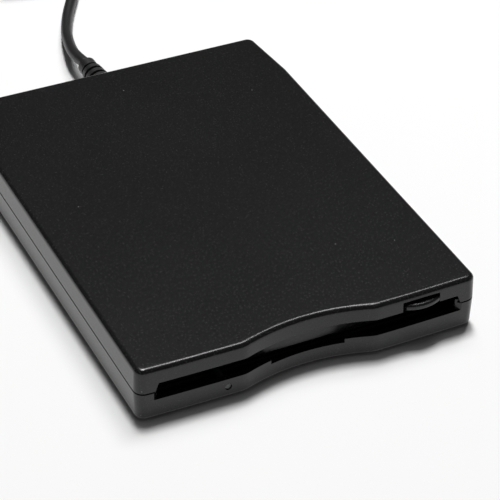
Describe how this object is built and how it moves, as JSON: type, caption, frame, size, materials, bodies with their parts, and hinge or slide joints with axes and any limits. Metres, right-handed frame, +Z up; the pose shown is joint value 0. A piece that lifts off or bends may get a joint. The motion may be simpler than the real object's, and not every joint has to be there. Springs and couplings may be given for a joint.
{
  "type": "external floppy drive",
  "caption": "Slim external floppy disk drive in a two-shell case with a front slot, dust flap, eject button, working mechanism and captive USB cord.",
  "frame": {"origin": "middle of the case's footprint, with the eject button, on the plane its feet stand on", "axes": "+X to the right and +Y to the rear, seen from the front; +Z up. The slot faces -Y and the cord leaves the rear wall along +Y"},
  "size_m": [0.1042, 0.2931, 0.017],
  "materials": {
    "black_shell": "fine matte grain",
    "black_moulding": "satin",
    "black_rubber": "matte",
    "smoke_lens": "frosted",
    "lamp_resin": "clear green",
    "green_board": "solder resist",
    "white_moulding": "satin",
    "zinc_steel": "zinc plated",
    "spring_steel": "bright",
    "black_screw": "black oxide",
    "copper_wire": "enamelled",
    "bearing_bronze": "sintered",
    "magnet": "moulded ferrite",
    "motor_can": "satin",
    "head_ceramic": "polished ceramic",
    "flex_film": "polyimide film",
    "chip_resin": "moulded resin",
    "ribbon_white": "vinyl",
    "cord_vinyl": "satin vinyl",
    "wire_vinyl": "vinyl",
    "gold_contact": "gold plated"
  },
  "bodies": {
    "drive": {"top_cover": "black_shell", "bottom_cover": "black_shell", "case_screws": "black_screw", "rubber_feet": "black_rubber", "light_pipe": "smoke_lens", "lamp": "lamp_resin", "lamp_board": "green_board", "flap_spring": "spring_steel", "eject_springs": "spring_steel", "lever_spring": "spring_steel", "chassis": "zinc_steel", "drive_screws": "zinc_steel", "mechanism_cover": "zinc_steel", "cover_screws": "zinc_steel", "motor_plate": "green_board", "motor_coils": "copper_wire", "spindle_bearing": "bearing_bronze", "stepper_motor": "motor_can", "guide_rod": "zinc_steel", "head_flex": "flex_film", "main_board": "green_board", "main_chips": "chip_resin", "usb_board": "green_board", "usb_chips": "chip_resin", "board_ribbon": "ribbon_white", "sense_switches": "black_moulding", "cord_relief": "black_rubber", "cord_wires": "wire_vinyl", "cord_lead": "cord_vinyl", "cord_coil": "cord_vinyl", "cord_tail": "cord_vinyl", "cord_tie": "black_rubber", "plug_grip": "black_rubber", "plug_shell": "zinc_steel", "plug_tongue": "white_moulding", "plug_contacts": "gold_contact"},
    "flap": {"dust_flap": "black_moulding"},
    "eject": {"eject_button": "black_shell", "slide_plate": "zinc_steel"},
    "carrier": {"disk_carrier": "zinc_steel"},
    "lever": {"latch_lever": "white_moulding"},
    "spindle": {"spindle_rotor": "motor_can", "spindle_magnet": "magnet"},
    "screw": {"lead_screw": "zinc_steel"},
    "carriage": {"head_carriage": "black_moulding", "lower_head": "head_ceramic", "arm_pin": "zinc_steel"},
    "arm": {"head_arm": "black_moulding", "upper_head": "head_ceramic"},
    "protect": {"protect_plunger": "white_moulding"},
    "density": {"density_plunger": "white_moulding"},
    "disk_in": {"disk_in_plunger": "white_moulding"}
  },
  "joints": [
    {"name": "eject_slide", "type": "slide", "parent": "drive", "child": "eject", "axis": [0, -1, 0], "range_m": [0, 0.0045], "deforming": ["eject_springs"]},
    {"name": "carrier_drop", "type": "slide", "parent": "drive", "child": "carrier", "axis": [0, 0, -1], "range_m": [0, 0.0024]},
    {"name": "latch_lever_swing", "type": "hinge", "parent": "drive", "child": "lever", "pos_m": [-0.038, 0.032, 0.01233], "axis": [0, 0, 1], "range_deg": [0, 43.5]},
    {"name": "flap_swing", "type": "hinge", "parent": "drive", "child": "flap", "pos_m": [0, -0.0645, 0.0129], "axis": [1, 0, 0], "range_deg": [0, 84]},
    {"name": "spindle_spin", "type": "hinge", "parent": "drive", "child": "spindle", "pos_m": [0, -0.0209, 0.005], "axis": [0, 0, 1], "continuous": true},
    {"name": "lead_screw_turn", "type": "hinge", "parent": "drive", "child": "screw", "pos_m": [0.01, 0.04, 0.00842], "axis": [0, -1, 0], "range_deg": [0, 1422.1]},
    {"name": "head_slide", "type": "slide", "parent": "drive", "child": "carriage", "axis": [0, -1, 0], "range_m": [0, 0.01481]},
    {"name": "head_arm_lift", "type": "hinge", "parent": "carriage", "child": "arm", "pos_m": [0, 0.04731, 0.0094], "axis": [1, 0, 0], "range_deg": [0, 9]},
    {"name": "protect_press", "type": "slide", "parent": "drive", "child": "protect", "axis": [0, 0, -1], "range_m": [0, 0.0008], "stiffness_N_per_m": 200},
    {"name": "density_press", "type": "slide", "parent": "drive", "child": "density", "axis": [0, 0, -1], "range_m": [0, 0.0008], "stiffness_N_per_m": 200},
    {"name": "disk_in_press", "type": "slide", "parent": "drive", "child": "disk_in", "axis": [0, 0, -1], "range_m": [0, 0.0008], "stiffness_N_per_m": 200}
  ],
  "couplings": [
    {"joint": "carrier_drop", "follows": "eject_slide", "ratio": 0.5333},
    {"joint": "head_arm_lift", "follows": "eject_slide", "rad_per_m": 34.906},
    {"joint": "latch_lever_swing", "follows": "eject_slide", "rad_per_m": 166.78},
    {"joint": "lead_screw_turn", "follows": "head_slide", "rad_per_m": 1675.5}
  ]
}
